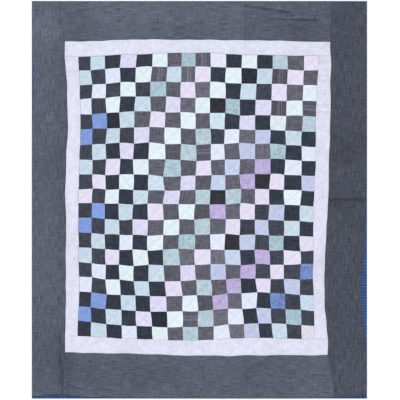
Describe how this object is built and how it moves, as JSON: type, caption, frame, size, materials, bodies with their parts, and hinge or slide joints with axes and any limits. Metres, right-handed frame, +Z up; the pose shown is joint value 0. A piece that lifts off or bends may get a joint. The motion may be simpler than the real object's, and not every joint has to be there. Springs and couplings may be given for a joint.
{
  "type": "patchwork quilt",
  "caption": "Flat rectangular bed quilt, pieced from small dark and light squares inside a pale and a dark border, quilted all over and bound in blue.",
  "frame": {"origin": "on the surface that the quilt lies on, under the middle of its bounding box", "axes": "+X to the right across the quilt, +Y along it towards the head end, +Z up out of its face"},
  "size_m": [1.7198, 2.0398, 0.0044],
  "materials": {
    "patchwork": "woven cotton shirting, dark and light squares",
    "lavender_cotton": "plain woven cotton, pale lavender",
    "chambray": "slubbed grey-blue chambray",
    "blue_cotton": "plain woven cotton, bright blue"
  },
  "bodies": {
    "root": {"field": "patchwork", "inner_border_top": "lavender_cotton", "inner_border_bottom": "lavender_cotton", "inner_border_left": "lavender_cotton", "inner_border_right": "lavender_cotton", "outer_border_left": "chambray", "outer_border_right_upper": "chambray", "outer_border_right_lower": "chambray", "outer_border_top_long": "chambray", "outer_border_top_short": "chambray", "outer_border_bottom": "chambray", "binding_left": "blue_cotton", "binding_right": "blue_cotton", "binding_top": "blue_cotton", "binding_bottom": "blue_cotton"}
  },
  "joints": []
}
